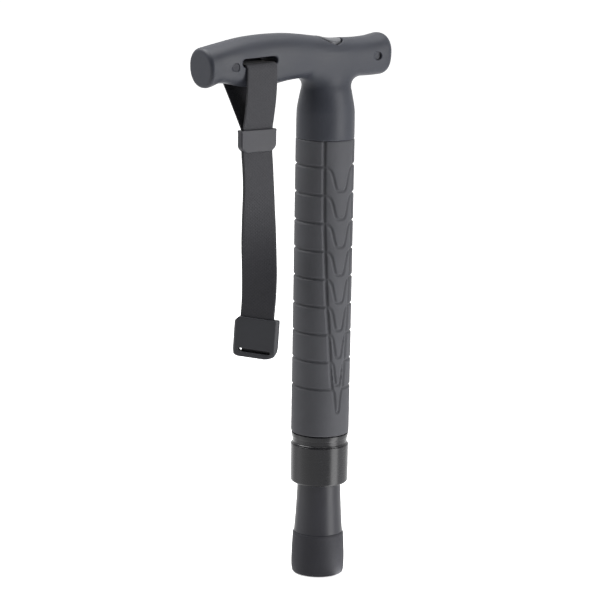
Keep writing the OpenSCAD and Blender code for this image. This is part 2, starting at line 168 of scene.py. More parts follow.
def smooth_curve(xs, ys):
    """A function through the points that bends smoothly and never overshoots much."""
    xs, ys = np.array(xs, float), np.array(ys, float)
    slopes = np.gradient(ys, xs)

    def value(x):
        x = np.clip(x, xs[0], xs[-1])
        k = np.clip(np.searchsorted(xs, x) - 1, 0, len(xs) - 2)
        width = xs[k + 1] - xs[k]
        t = (x - xs[k]) / width
        h00, h10 = 2 * t**3 - 3 * t**2 + 1, t**3 - 2 * t**2 + t
        h01, h11 = 3 * t**2 - 2 * t**3, t**3 - t**2
        return h00 * ys[k] + h10 * width * slopes[k] + h01 * ys[k + 1] + h11 * width * slopes[k + 1]

    return value


def surface_net(field, low, high, step, polish=4):
    """Closed quad mesh of the surface field(x, y, z) = 0, negative inside, in millimetres."""
    axes = [np.arange(a - 2 * step, b + 3 * step, step) for a, b in zip(low, high)]
    value = field(*np.meshgrid(*axes, indexing="ij"))
    shape = np.array(value.shape)
    inside = value < 0

    def corner(array, offset):
        cut = tuple(slice(o, n - 1 + o) for o, n in zip(offset, shape))
        return array[cut]

    offsets = [(a, b, c) for a in (0, 1) for b in (0, 1) for c in (0, 1)]
    count = sum(corner(inside, o).astype(int) for o in offsets)
    mixed = (count > 0) & (count < 8)
    total = np.zeros(mixed.shape + (3,))
    hits = np.zeros(mixed.shape)
    for o in offsets:
        for k in range(3):
            if o[k]:
                continue
            end = tuple(1 if i == k else o[i] for i in range(3))
            fa, fb = corner(value, o), corner(value, end)
            crossing = (fa < 0) != (fb < 0)
            t = np.where(crossing, fa / np.where(crossing, fa - fb, 1), 0)
            for i in range(3):
                total[..., i] += np.where(crossing, o[i] + (t if i == k else 0), 0)
            hits += crossing
    number = np.full(mixed.shape, -1)
    number[mixed] = np.arange(mixed.sum())
    cell = np.argwhere(mixed)
    origin = np.array([a[0] for a in axes])
    points = origin + (cell + total[mixed] / hits[mixed][:, None]) * step
    faces = []
    for k in range(3):
        u, v = [(1, 2), (2, 0), (0, 1)][k]
        first = [slice(None)] * 3
        second = [slice(None)] * 3
        first[k], second[k] = slice(0, -1), slice(1, None)
        change = inside[tuple(first)] != inside[tuple(second)]
        at = np.argwhere(change)
        at = at[(at[:, u] > 0) & (at[:, v] > 0)]
        outward = inside[tuple(at.T)]
        quad = []
        for du, dv in ((0, 0), (1, 0), (1, 1), (0, 1)):
            c = at.copy()
            c[:, u] -= du
            c[:, v] -= dv
            quad.append(number[tuple(c.T)])
        quad = np.stack(quad, axis=1)
        quad[~outward] = quad[~outward][:, ::-1]
        faces.append(quad)
    faces = np.concatenate(faces)
    for _ in range(polish):
        points = pull_onto(field, points, step)
    return points, faces


def pull_onto(field, points, step):
    """One Newton step of the points onto field = 0, at most a quarter of a step far."""
    reach = 0.02
    here = field(*points.T)
    slope = np.stack([
        (field(*(points + d).T) - field(*(points - d).T)) / (2 * reach)
        for d in np.eye(3) * reach
    ], axis=1)
    size = np.maximum((slope**2).sum(axis=1), 0.05)
    move = -(here / size)[:, None] * slope
    length = np.linalg.norm(move, axis=1, keepdims=True)
    return points + move * np.minimum(1, 0.25 * step / np.maximum(length, 1e-9))


# Ways to join solids given as fields, with a rounded edge or a fillet of radius r

def join(a, b, r):
    u, v = np.maximum(r - a, 0), np.maximum(r - b, 0)
    return np.maximum(r, np.minimum(a, b)) - np.hypot(u, v)


def overlap(a, b, r):
    return -join(-a, -b, r)


def cut_out(a, b, r):
    return overlap(a, -b, r)


def box_field(x, y, z, half, r):
    """Rounded box about the origin."""
    q = [np.abs(c) - h + r for c, h in zip((x, y, z), half)]
    outside = np.sqrt(sum(np.maximum(c, 0) ** 2 for c in q))
    return outside + np.minimum(np.maximum.reduce(q), 0) - r


def ellipse_field(x, y, a, b):
    """Near-true distance to an ellipse with half axes a and b, about the origin."""
    size = np.hypot(x / a, y / b)
    return size * (size - 1) / np.maximum(np.hypot(x / a**2, y / b**2), 1e-6)


def stadium_field(x, z, length, height):
    """Long hole with round ends in the XZ plane, about the origin."""
    return np.hypot(np.maximum(np.abs(x) - (length - height) / 2, 0), z) - height / 2


# ---- Materials ----

def shader(name, colour, roughness, **sockets):
    material = bpy.data.materials.new(name)
    material.use_nodes = True
    tree = material.node_tree
    bsdf = tree.nodes["Principled BSDF"]
    bsdf.inputs["Base Color"].default_value = (*colour, 1)
    bsdf.inputs["Roughness"].default_value = roughness
    for key, value in sockets.items():
        bsdf.inputs[key.replace("_", " ")].default_value = value
    return material, tree, bsdf


def add(tree, kind, **values):
    node = tree.nodes.new(kind)
    for key, value in values.items():
        if key in node.inputs:
            node.inputs[key].default_value = value
        else:
            setattr(node, key, value)
    return node


def object_noise(tree, scale, detail=3.0, stretch=(1, 1, 1)):
    """Noise fixed to the piece's own coordinates, with scale in cells per metre."""
    place = add(tree, "ShaderNodeTexCoord")
    mapping = add(tree, "ShaderNodeMapping")
    mapping.inputs["Scale"].default_value = stretch
    noise = add(tree, "ShaderNodeTexNoise", Scale=scale, Detail=detail)
    tree.links.new(place.outputs["Object"], mapping.inputs["Vector"])
    tree.links.new(mapping.outputs["Vector"], noise.inputs["Vector"])
    return noise.outputs["Fac"]


def shade(colour, factor):
    """The colour made darker or lighter, at most white."""
    return tuple(min(1, c * factor) for c in colour)


def ramp(tree, fac, stops):
    node = add(tree, "ShaderNodeValToRGB")
    while len(node.color_ramp.elements) < len(stops):
        node.color_ramp.elements.new(0.5)
    for element, (place, colour) in zip(node.color_ramp.elements, stops):
        element.position = place
        element.color = (*colour, 1)
    tree.links.new(fac, node.inputs["Fac"])
    return node.outputs["Color"]


def spread(tree, fac, low, high):
    node = add(tree, "ShaderNodeMapRange")
    node.inputs["From Min"].default_value = 0.3
    node.inputs["From Max"].default_value = 0.7
    node.inputs["To Min"].default_value = low
    node.inputs["To Max"].default_value = high
    tree.links.new(fac, node.inputs["Value"])
    return node.outputs["Result"]


def mix_colours(tree, fac, a, b):
    node = add(tree, "ShaderNodeMix", data_type="RGBA")
    tree.links.new(fac, node.inputs["Factor"])
    for socket, value in ((node.inputs[6], a), (node.inputs[7], b)):
        if isinstance(value, tuple):
            socket.default_value = (*value, 1)
        else:
            tree.links.new(value, socket)
    return node.outputs[2]


def bump(tree, bsdf, *layers):
    """Bump layers as (height, strength, distance in metres), from coarse to fine."""
    normal = None
    for height, strength, distance in layers:
        node = add(tree, "ShaderNodeBump", Strength=strength, Distance=distance)
        tree.links.new(height, node.inputs["Height"])
        if normal:
            tree.links.new(normal, node.inputs["Normal"])
        normal = node.outputs["Normal"]
    tree.links.new(normal, bsdf.inputs["Normal"])


def paler_convex_edges(tree, base, edge_colour, low=0.53, high=0.62):
    """Lighter colour on convex edges; on the rubber it is a painted highlight where the tread's edges catch
    the light.
    """
    geometry = add(tree, "ShaderNodeNewGeometry")
    edge = add(tree, "ShaderNodeMapRange")
    edge.inputs["From Min"].default_value = low
    edge.inputs["From Max"].default_value = high
    tree.links.new(geometry.outputs["Pointiness"], edge.inputs["Value"])
    return mix_colours(tree, edge.outputs["Result"], base, edge_colour)


def moulded_plastic(name, colour, roughness=0.5, gloss=0.36, grain=2600, depth=0.00003):
    """Satin plastic with a fine spark-eroded grain and faint mottling."""
    material, tree, bsdf = shader(name, colour, roughness)
    bsdf.inputs["Specular IOR Level"].default_value = gloss
    cloud = object_noise(tree, 55, 4)
    base = ramp(tree, cloud, [(0.3, shade(colour, 0.9)), (0.7, shade(colour, 1.1))])
    edge_colour = paler_convex_edges(tree, base, shade(colour, 1.35))
    tree.links.new(edge_colour, bsdf.inputs["Base Color"])
    fine = object_noise(tree, grain, 2)
    tree.links.new(spread(tree, cloud, roughness - 0.06, roughness + 0.06), bsdf.inputs["Roughness"])
    bump(tree, bsdf, (cloud, 0.12, 0.0004), (fine, 0.5, depth))
    return material


def gloss_plastic(name, colour, roughness=0.2):
    """Polished dark plastic with hairline scuffs around the shaft."""
    material, tree, bsdf = shader(name, colour, roughness)
    bsdf.inputs["Specular IOR Level"].default_value = 0.42
    cloud = object_noise(tree, 70, 3)
    hair = object_noise(tree, 400, 4, stretch=(1, 1, 14))
    base = ramp(tree, cloud, [(0.3, shade(colour, 0.85)), (0.7, shade(colour, 1.15))])
    tree.links.new(base, bsdf.inputs["Base Color"])
    tree.links.new(spread(tree, hair, roughness - 0.04, roughness + 0.1), bsdf.inputs["Roughness"])
    bump(tree, bsdf, (hair, 0.08, 0.00002))
    return material


def rubber(name, colour, roughness=0.62, grain=1900):
    """Moulded rubber: dull and finely pitted, with a painted highlight on its convex edges."""
    material, tree, bsdf = shader(name, colour, roughness)
    bsdf.inputs["Specular IOR Level"].default_value = 0.24
    cloud = object_noise(tree, 38, 5)
    pit = object_noise(tree, grain, 3)
    base = ramp(tree, cloud, [(0.28, shade(colour, 0.88)), (0.72, shade(colour, 1.12))])
    # Painted highlight: the tread's convex edges made 1.7 times paler, standing in for the light caught by
    # the lips of the blocks.
    edge_colour = paler_convex_edges(tree, base, shade(colour, 1.7))
    tree.links.new(edge_colour, bsdf.inputs["Base Color"])
    tree.links.new(spread(tree, pit, roughness - 0.07, roughness + 0.07), bsdf.inputs["Roughness"])
    bump(tree, bsdf, (cloud, 0.15, 0.0005), (pit, 0.45, 0.00004))
    return material


def brushed_metal(name, colour, roughness, metallic=1.0, stretch=(1, 1, 30)):
    """Drawn or turned metal with fine lines."""
    material, tree, bsdf = shader(name, colour, roughness, Metallic=metallic)
    lines = object_noise(tree, 300, 4, stretch=stretch)
    cloud = object_noise(tree, 60, 3)
    base = ramp(tree, cloud, [(0.3, shade(colour, 0.9)), (0.7, shade(colour, 1.1))])
    tree.links.new(base, bsdf.inputs["Base Color"])
    tree.links.new(spread(tree, lines, roughness - 0.07, roughness + 0.12), bsdf.inputs["Roughness"])
    bump(tree, bsdf, (lines, 0.12, 0.00002))
    return material


# Webbing: rib rows across the band, warp yarns along it
YARN_MM = 1.05
PICK_MM = 0.9


def webbing(name, colour):
    """Woven nylon band. The weave follows the attributes along and across, in millimetres."""
    material, tree, bsdf = shader(name, colour, 0.72, Sheen_Weight=0.1, Sheen_Roughness=0.4)
    along = add(tree, "ShaderNodeAttribute", attribute_name="along").outputs["Fac"]
    across = add(tree, "ShaderNodeAttribute", attribute_name="across").outputs["Fac"]

    def wave(value, period, shift=0.0):
        turn = add(tree, "ShaderNodeMath", operation="MULTIPLY_ADD")
        turn.inputs[1].default_value = 2 * math.pi / period
        turn.inputs[2].default_value = shift
        tree.links.new(value, turn.inputs[0])
        sine = add(tree, "ShaderNodeMath", operation="SINE")
        tree.links.new(turn.outputs[0], sine.inputs[0])
        return sine.outputs[0]

    product = add(tree, "ShaderNodeMath", operation="MULTIPLY")
    tree.links.new(wave(along, 2 * PICK_MM), product.inputs[0])
    tree.links.new(wave(across, 2 * YARN_MM), product.inputs[1])
    rib = add(tree, "ShaderNodeMath", operation="MULTIPLY_ADD")
    tree.links.new(wave(across, YARN_MM), rib.inputs[0])
    rib.inputs[1].default_value = 0.35
    tree.links.new(product.outputs[0], rib.inputs[2])
    height = add(tree, "ShaderNodeMapRange")
    height.inputs["From Min"].default_value = -1.35
    height.inputs["From Max"].default_value = 1.35
    tree.links.new(rib.outputs[0], height.inputs["Value"])
    weave = height.outputs["Result"]
    fuzz = object_noise(tree, 3000, 3)
    cloud = object_noise(tree, 60, 4)
    # Painted shade and highlight: the colour follows the weave's height, darker in its hollows and paler on
    # its ribs.
    base = ramp(tree, weave, [(0.15, shade(colour, 0.72)), (0.85, shade(colour, 1.16))])
    tint = mix_colours(tree, spread(tree, cloud, 0.0, 0.35), base, shade(colour, 0.8))
    tree.links.new(tint, bsdf.inputs["Base Color"])
    tree.links.new(spread(tree, fuzz, 0.62, 0.8), bsdf.inputs["Roughness"])
    bump(tree, bsdf, (cloud, 0.2, 0.0005), (weave, 0.55, 0.00016), (fuzz, 0.3, 0.00004))
    return material


HANDLE_PLASTIC = moulded_plastic("handle_plastic", (0.027, 0.0295, 0.039), 0.47)
PLUG_PLASTIC = moulded_plastic("plug_plastic", (0.019, 0.02, 0.026), 0.52, 0.22)
BUTTON_PLASTIC = moulded_plastic("button_plastic", (0.085, 0.087, 0.096), 0.42)
BUCKLE_PLASTIC = moulded_plastic("buckle_plastic", (0.027, 0.028, 0.033), 0.45)
KEEPER_PLASTIC = moulded_plastic("keeper_plastic", (0.031, 0.031, 0.037), 0.45)
# Boot: its own dark grey, darkened further as painted shade for the weaker light near the floor.
BOOT_PLASTIC_WITH_PAINTED_SHADE = moulded_plastic("boot_plastic", (0.022, 0.022, 0.028), 0.38)
GLOSS_BLACK = gloss_plastic("gloss_black", (0.01, 0.01, 0.012))
SLEEVE_RUBBER = rubber("sleeve_rubber", (0.062, 0.063, 0.07))
# Foot: its own dark grey, darkened further as painted shade for the weaker light near the floor.
FOOT_RUBBER_WITH_PAINTED_SHADE = rubber("foot_rubber", (0.028, 0.028, 0.034), 0.62)
WEBBING = webbing("webbing", (0.017, 0.017, 0.022))
DARK_ANODISED = brushed_metal("dark_anodised", (0.09, 0.09, 0.1), 0.32, 0.85)
STEEL = brushed_metal("steel", (0.6, 0.61, 0.63), 0.3)
BRASS = brushed_metal("brass", (0.7, 0.5, 0.22), 0.3)
ACETAL = moulded_plastic("acetal", (0.7, 0.7, 0.66), 0.4)


# ---- Handle ----

NOSE_X = HANDLE_LOW[0]
HEEL_X = HANDLE_HIGH[0]
HALF_W = 12.0
# Side outline: x, underside, top
HANDLE_OUTLINE = [
    (-88, 291.3, 314), (-84, 292.1, 314.8), (-81, 293, 315.4), (-77, 294.5, 316.2),
    (-72, 294.5, 317.2), (-66, 293.4, 318.4), (-60, 292.1, 319.4), (-50, 291.8, 320.35),
    (-40, 292.4, 320.75), (-30, 294, 320.6), (-20, 294.9, 319.7), (-10, 295.1, 318.4),
    (0, 295, 317.3), (10, 294.6, 316.5), (20, 294.1, 316.4), (28, 294.1, 317), (36, 294.5, 318.4),
    (44, 295, 319.2),
]
outline_x = [row[0] for row in HANDLE_OUTLINE]
handle_underside = smooth_curve(outline_x, [row[1] for row in HANDLE_OUTLINE])
handle_top = smooth_curve(outline_x, [row[2] for row in HANDLE_OUTLINE])
# Neck: z, radius along X, radius along Y
NECK_OUTLINE = [
    (255, 16.8, 16.8), (272, 16.8, 16.8), (275.5, 16.7, 16.7), (279, 16.25, 16.2), (283, 15.55, 15.3),
    (287, 14.9, 14.1), (291, 14.4, 12), (295, 14, 9.6), (300, 13.5, 7.5), (306, 13.2, 6),
]
neck_z = [row[0] for row in NECK_OUTLINE]
neck_x_radius = smooth_curve(neck_z, [row[1] for row in NECK_OUTLINE])
neck_y_radius = smooth_curve(neck_z, [row[2] for row in NECK_OUTLINE])
NECK_FILLET = 7.5
# Slot for the strap, which rises a little towards the heel
SLOT_X, SLOT_Z, SLOT_LENGTH, SLOT_HEIGHT = -53.4, 306.6, 23.2, 4.6
SLOT_SLOPE = 0.043
# Screw recesses in the front: place in X and Z, and depth as the floor's Y
HEEL_SCREW = (27.9, 306)
HEEL_FLOOR_Y = -10.3
NOSE_PLUG = (-69.5, 304.2)
NOSE_FLOOR_Y = -8
RECESS_R = 2.4
# The button stands in a well and is held by a flange that is wider than the well
FLANGE_WIDTH = 1.45
BUTTON_R = (BUTTON_HIGH[0] - BUTTON_LOW[0]) / 2 - FLANGE_WIDTH
WELL_R = BUTTON_R + 1.1
WELL_FLOOR_Z = 303.2


def handle_bar(x, y, z):
    """Arched bar, round above and squarer below, except at the nose."""
    low, high = handle_underside(x), handle_top(x)
    middle, half = (low + high) / 2, (high - low) / 2
    rise = (z - middle) / half
    blunt = np.clip((x + 84) / 14, 0, 1)
    power = np.where(rise > 0, 2.15, 2.2 + 0.7 * blunt)
    size = (np.abs(y / HALF_W) ** power + np.abs(rise) ** power) ** (1 / power)
    return (size - 1) * np.minimum(HALF_W, half)


def nose_face(x, z):
    tilt, middle_z = math.radians(3), 302.5
    return -(x - NOSE_X) * math.cos(tilt) - (z - middle_z) * math.sin(tilt)


def handle_field(x, y, z):
    """Bar and neck with the slot, the two screw recesses and the button's well."""
    bar = overlap(handle_bar(x, y, z), nose_face(x, z), 2.0)
    heel_lean, middle_z = 0.05, 306
    bar = overlap(bar, x - HEEL_X - heel_lean * (z - middle_z), 5.8)
    neck = ellipse_field(x, y, neck_x_radius(z), neck_y_radius(z))
    neck = overlap(neck, SLEEVE_HIGH[2] - z, 0.5)
    neck = np.maximum(neck, z - 304)
    solid = join(bar, neck, NECK_FILLET)
    slot = stadium_field(x - SLOT_X, z - SLOT_Z - SLOT_SLOPE * (x - SLOT_X), SLOT_LENGTH, SLOT_HEIGHT)
    solid = cut_out(solid, slot, 0.7)
    recess = np.hypot(x - HEEL_SCREW[0], z - HEEL_SCREW[1]) - RECESS_R
    recess = np.maximum(recess, y - HEEL_FLOOR_Y)
    solid = cut_out(solid, recess, 0.55)
    plug = np.hypot(x - NOSE_PLUG[0], z - NOSE_PLUG[1]) - RECESS_R + 0.02
    plug = np.maximum(plug, y - NOSE_FLOOR_Y)
    solid = cut_out(solid, plug, 0.12)
    well = np.maximum(np.hypot(x, y) - WELL_R, WELL_FLOOR_Z - z)
    return cut_out(solid, well, 0.3)


def make_handle():
    """Front and back shells, parted at Y = 0 with a hairline between them."""
    parting = 0.02
    low = (NOSE_X - 2, -17.5, SLEEVE_HIGH[2] - 0.5)
    high = (HEEL_X + 1, 17.5, 321.5)
    points, faces = surface_net(handle_field, low, high, 0.62)
    for side, name in ((-1, "handle_front_shell"), (1, "handle_back_shell")):
        shell = new_piece(
            name.replace("_shell", "_half"), points, faces, None, HANDLE_PLASTIC
        )
        bm = bmesh.new()
        bm.from_mesh(shell.data)
        bmesh.ops.bisect_plane(
            bm, geom=bm.verts[:] + bm.edges[:] + bm.faces[:], dist=1e-6,
            plane_co=(0, side * parting * MM, 0), plane_no=(0, -side, 0), clear_outer=True,
        )
        rim = [e for e in bm.edges if e.is_boundary]
        bmesh.ops.triangle_fill(bm, edges=rim, use_beauty=True, use_dissolve=False)
        bmesh.ops.recalc_face_normals(bm, faces=bm.faces)
        bm.to_mesh(shell.data)
        bm.free()
        shell.data.shade_smooth()
        shell.data.set_sharp_from_angle(angle=math.radians(40))
        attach(shell, "grip")
        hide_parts(name)


def make_nose_plug():
    depth, surface_y = 2.0, -11.62
    radius = RECESS_R - 0.08
    outline = rounded([(0, 0), (radius, 0), (radius, depth), (0, depth)], [0, 0.25, 0.15, 0])
    # The axis itself is left open by a hair, so that no faces collapse there
    points, faces = lathe(np.maximum(outline, [0.001, 0]), 48)
    x, z = NOSE_PLUG
    turned = np.stack([points[:, 0] + x, surface_y + depth - points[:, 2], points[:, 1] + z], axis=1)
    bulge = 0.03 * (turned[:, 2] - z)
    front = points[:, 2] > depth - 0.4
    turned[front, 1] += bulge[front]
    new_piece("nose_plug", turned, faces, "grip", PLUG_PLASTIC, ["screw_plug"])


make_handle()
make_nose_plug()


# ---- Release button ----

def button_field(x, y, z):
    """Cap that follows the handle's top and is dished in the middle, over a flange."""
    dish = 0.6 * np.clip(1 - np.hypot(x - 1.5, y) ** 2 / 62, 0, 1)
    crown = handle_bar(x, y, z) - 0.1 + dish
    cap = overlap(np.hypot(x, y) - BUTTON_R, crown, 0.45)
    skirt = np.maximum(np.hypot(x, y) - WELL_R - 0.2, z - WELL_FLOOR_Z + 0.3)
    return overlap(np.minimum(cap, skirt), 300.8 - z, 0.3)


def make_button():
    low = (-BUTTON_R - 2, -BUTTON_R - 2, 300.5)
    high = (BUTTON_R + 2, BUTTON_R + 2, 319)
    points, faces = surface_net(button_field, low, high, 0.4)
    new_piece("thumb_button", points, faces, "button", BUTTON_PLASTIC, ["release_button"])


make_button()


# ---- Grip sleeve ----

SLEEVE_R = SLEEVE_HIGH[0]
SLEEVE_BORE = TUBE_HIGH[0]
GROOVE_TOP_Z, GROOVE_PITCH, GROOVES = 244.6, 16.27, 9
GROOVE_DEPTH = 0.95
WAVE_DROP = 14.1
ZONE_ANGLE = 0.0
# Half width of the wave zone in degrees, by height
ZONE_Z = [100, 113, 125, 143, 158, 167, 181, 195, 208, 220, 240, 260]
ZONE_HALF = [11.7, 13.2, 16.2, 20.4, 24.7, 27.2, 29.7, 32, 34, 35.2, 36.2, 36.8]
zone_half = smooth_curve(ZONE_Z, ZONE_HALF)
# Shape of one wave from its middle (0) to the side groove (1), as a share of its drop
wave_shape = smooth_curve(
    [0, 0.13, 0.24, 0.33, 0.4, 0.47, 0.55, 0.65, 0.8, 1],
    [1, 0.995, 0.965, 0.87, 0.7, 0.5, 0.3, 0.15, 0.05, 0],
)


def trench(distance, depth, flat, edge):
    """Depth of a groove by distance from its middle line: a flat floor and sloping walls."""
    t = np.clip((distance - flat) / (edge - flat), 0, 1)
    return depth * (1 - t * t * (3 - 2 * t))


def tread_depth(angle, z):
    """How deep the tread is cut at an angle from a zone's middle, in degrees, and a height."""
    arc = np.radians(angle) * SLEEVE_R
    half = np.radians(zone_half(z)) * SLEEVE_R
    side = np.abs(arc)
    last_z = GROOVE_TOP_Z - (GROOVES - 1) * GROOVE_PITCH
    below = np.maximum(last_z - z, 0)
    depth = trench(np.hypot(side - half, below), GROOVE_DEPTH, 0.45, 1.45)
    u = np.linspace(0, 1, 160)
    for i in range(GROOVES):
        groove_z = GROOVE_TOP_Z - i * GROOVE_PITCH
        inward = np.maximum(half - side, 0)
        depth = np.maximum(depth, trench(np.hypot(z - groove_z, inward), GROOVE_DEPTH, 0.3, 1.2))
        near = (z < groove_z + 4) & (z > groove_z - WAVE_DROP - 4) & (side < half + 4)
        wave_half = math.radians(float(zone_half(groove_z))) * SLEEVE_R
        wave_x, wave_z = u * wave_half, groove_z - WAVE_DROP * wave_shape(u)
        gap = np.hypot(side[near][:, None] - wave_x, z[near][:, None] - wave_z).min(axis=1)
        depth[near] = np.maximum(depth[near], trench(gap, 0.85 * GROOVE_DEPTH, 0.25, 1.15))
    return depth


def make_sleeve():
    columns, rows = 236, 384
    angle = np.linspace(-180, 180, columns, endpoint=False)
    z = np.linspace(SLEEVE_LOW[2] + 0.35, SLEEVE_HIGH[2] - 0.35, rows)
    # Angles are counted from -Y towards +X
    a, h = np.meshgrid(angle, z)
    from_front = (a - ZONE_ANGLE + 180) % 360 - 180
    from_back = (a - ZONE_ANGLE + 360) % 360 - 180
    nearest = np.where(np.abs(from_front) <= 90, from_front, from_back)
    radius = SLEEVE_R - tread_depth(nearest.ravel(), h.ravel()).reshape(h.shape)
    end = np.minimum(h - SLEEVE_LOW[2], SLEEVE_HIGH[2] - h)
    radius -= 0.45 * np.clip(1 - end / 1.1, 0, 1) ** 2
    bore_r, rim_r = SLEEVE_BORE + 0.02, SLEEVE_R - 0.8
    low_z, high_z = SLEEVE_LOW[2] + 0.02, SLEEVE_HIGH[2] - 0.02

    def level(value):
        return np.full((1, columns), value)

    r = np.concatenate([level(bore_r), level(rim_r), radius, level(rim_r), level(bore_r)])
    t = np.concatenate([level(low_z), level(low_z), h, level(high_z), level(high_z)])
    turn = np.radians(angle)
    points = np.stack([r * np.sin(turn), -r * np.cos(turn), t], axis=-1).reshape(-1, 3)
    faces = grid_faces(len(r), columns, closed_rows=True)
    new_piece("grip_tread", points, faces, "grip", SLEEVE_RUBBER,
              ["grip_sleeve"], sharp=75)


make_sleeve()


# ---- Turned and moulded rings ----

def make_ring():
    """Waisted ring with two fine ridges, between sleeve and collar."""
    low, high = RING_LOW[2], RING_HIGH[2]
    outline = [
        (15.02, low + 0.06), (16.6, low + 0.06), (16.4, low + 0.6), (15.95, low + 1.0), (15.95, low + 1.9),
        (16.08, low + 2.2), (16.02, low + 2.5), (16.2, low + 3.1), (16.14, low + 3.4), (16.42, low + 4.1),
        (16.6, low + 5.0), (16.75, high - 0.75), (16.7, high - 0.4), (15.02, high - 0.4),
    ]
    points, faces = lathe(rounded(outline, 0.22, 4), 192)
    new_piece("waist_ring", points, faces, "grip", GLOSS_BLACK, ["spacer_ring"], sharp=60)


def make_collar():
    """Glossy end cap of the outer tube."""
    low, high = COLLAR_LOW[2], COLLAR_HIGH[2]
    r = COLLAR_HIGH[0]
    outline = [
        (13.7, low + 0.1), (14.2, low + 0.02), (r - 0.1, low + 0.9), (r, low + 10), (r, high - 0.4),
        (r - 0.2, high - 0.06), (15.05, high - 0.06), (15.05, 66), (13.7, 64.6),
    ]
    radii = [0.3, 0.5, 3.6, 2, 0.3, 0.2, 0.1, 0.1, 0.1]
    points, faces = lathe(rounded(outline, radii, 10), 192)
    new_piece("lower_collar", points, faces, "grip", GLOSS_BLACK, ["end_collar"], sharp=60)


def make_boot():
    # Outer radius by height, then the plain inside
    curve = smooth_curve(
        [25.2, 26, 30, 33.5, 37, 41, 45, 49, 53, 58],
        [14.4, 14.32, 13.97, 13.72, 13.5, 13.3, 13.1, 12.93, 12.8, 12.72],
    )
    outer = [(float(curve(z)), z) for z in np.linspace(25.45, 57.2, 44)]
    outline = [(7.02, 57.8), (11.6, 57.8)] + outer[::-1]
    outline += [(13.5, 25.35), (9.02, 25.35), (9.02, 31), (7.02, 31)]
    points, faces = lathe(outline, 160)
    new_piece("flared_boot", points, faces, "tip", BOOT_PLASTIC_WITH_PAINTED_SHADE, ["tip_boot"], sharp=50)


def make_foot():
    """Slightly barrelled rubber foot."""
    curve = smooth_curve(
        [0, 0.35, 1.2, 2.4, 4, 7.6, 11.3, 15, 18.7, 22.4, 24.6, 25.2],
        [13.2, 14.45, 15.05, 15.35, 15.52, 15.62, 15.58, 15.45, 15.28, 15.05, 14.8, 14.45],
    )
    heights = np.r_[np.linspace(0, 3, 14), np.linspace(3.4, 24.4, 40), [24.8, 25.05, 25.2]]
    outer = [(float(curve(z)), z) for z in heights]
    inner = [(9.02, 25.2), (9.02, 8.02), (0.01, 8.02)]
    # Ring grooves in the underside: offset from the groove's radius, and height
    groove = [(-0.1, 0), (0.1, 0.25), (0.25, 1.35), (1.25, 1.35), (1.4, 0.25), (1.6, 0)]
    sole = [(0.01, 0)]
    for r in (5.0, 8.6):
        sole += [(r + offset, z) for offset, z in groove]
    points, faces = lathe(sole + outer + inner, 176)
    new_piece("ferrule", points, faces, "tip", FOOT_RUBBER_WITH_PAINTED_SHADE, ["rubber_foot"], sharp=50)


make_ring()
make_collar()
make_boot()
make_foot()


# ---- Strap ----

STRAP_W = 20.0
STRAP_T = 1.1
HINGE = np.array([-51.5, -6.3, 271.0])
TAIL_FOOT = np.array([-50.3, -6.4, 137.5])
TAIL_BOTTOM_Z = 149.8
# How far the tail strays along its own width, by height
tail_stray = smooth_curve(
    [137, 149, 160, 172, 186, 200, 220, 236, 246, 256, 262],
    [-0.8, -0.2, 0.75, 1.6, 1.8, 1.45, 1.3, 1.2, 0.7, 0, 0],
)
# Twist of the tail in degrees, reached between two heights
TURN = -52.0
TURN_TOP_Z, TURN_BOTTOM_Z = 243.0, 160.0


def tail_place(z):
    t = (HINGE[2] - z) / (HINGE[2] - TAIL_FOOT[2])
    place = HINGE + (TAIL_FOOT - HINGE) * t
    a = tail_angle(z)
    place = place + np.array([math.cos(a), math.sin(a), 0]) * float(tail_stray(z))
    return np.array([place[0], place[1], z])


def tail_angle(z):
    t = np.clip((TURN_TOP_Z - z) / (TURN_TOP_Z - TURN_BOTTOM_Z), 0, 1)
    return math.radians(TURN) * t * t * (3 - 2 * t)


def strap_rows():
    """Centre and width direction along one lap of webbing, from the buckle back to the buckle."""
    gap = 0.35
    lip_y = HALF_W + gap + STRAP_T / 2
    slot_z = SLOT_Z - SLOT_HEIGHT / 2 + gap + STRAP_T / 2
    bow_z = slot_z + 2.1
    slot_end_z = 299.5
    upper_foot_z = 268
    front_y, drop = HINGE[1] - 0.6, np.linspace(1, 0, 14)
    rise = slot_end_z - upper_foot_z
    front = [(-lip_y + (lip_y + front_y) * t**1.9, slot_end_z - rise * t) for t in drop]
    upper = rounded(front + [
        (-lip_y, slot_z), (1, slot_z), (3.5, bow_z), (5.9, bow_z), (8.4, slot_z), (lip_y, slot_z),
        (lip_y, slot_end_z), (HINGE[1] + 0.6, upper_foot_z),
    ], [0] + [1] * 13 + [2.6, 3, 2.6, 2.6, 2.6, 2.6, 9, 0], 10)
    foot_x = tail_place(upper_foot_z)[0]
    rows = []
    for layer, ends in ((-1, (TAIL_BOTTOM_Z, 266.5)), (1, (266.5, TAIL_BOTTOM_Z))):
        tail = []
        for z in np.linspace(*ends, 70):
            a = tail_angle(z)
            face = np.array([-math.sin(a), math.cos(a), 0])
            away = face * layer * (STRAP_T / 2 + 0.03)
            tail.append((tail_place(z) + away, np.array([math.cos(a), math.sin(a), 0])))
        if layer < 0:
            rows += tail
            steps = np.hypot(*np.diff(upper, axis=0).T)
            length = np.r_[0, np.cumsum(steps)]
            for s in np.linspace(0.8, length[-1] - 0.8, 120):
                y, z = (np.interp(s, length, upper[:, k]) for k in (0, 1))
                up = np.clip((z - upper_foot_z) / 30, 0, 1)
                top_x = SLOT_X - 0.5 - 1.1 * y / lip_y
                x = foot_x + (top_x - foot_x) * up**0.8
                tilt = SLOT_SLOPE * up
                rows.append((np.array([x, y, z]), np.array([math.cos(tilt), 0, math.sin(tilt)])))
        else:
            rows += tail
    return rows


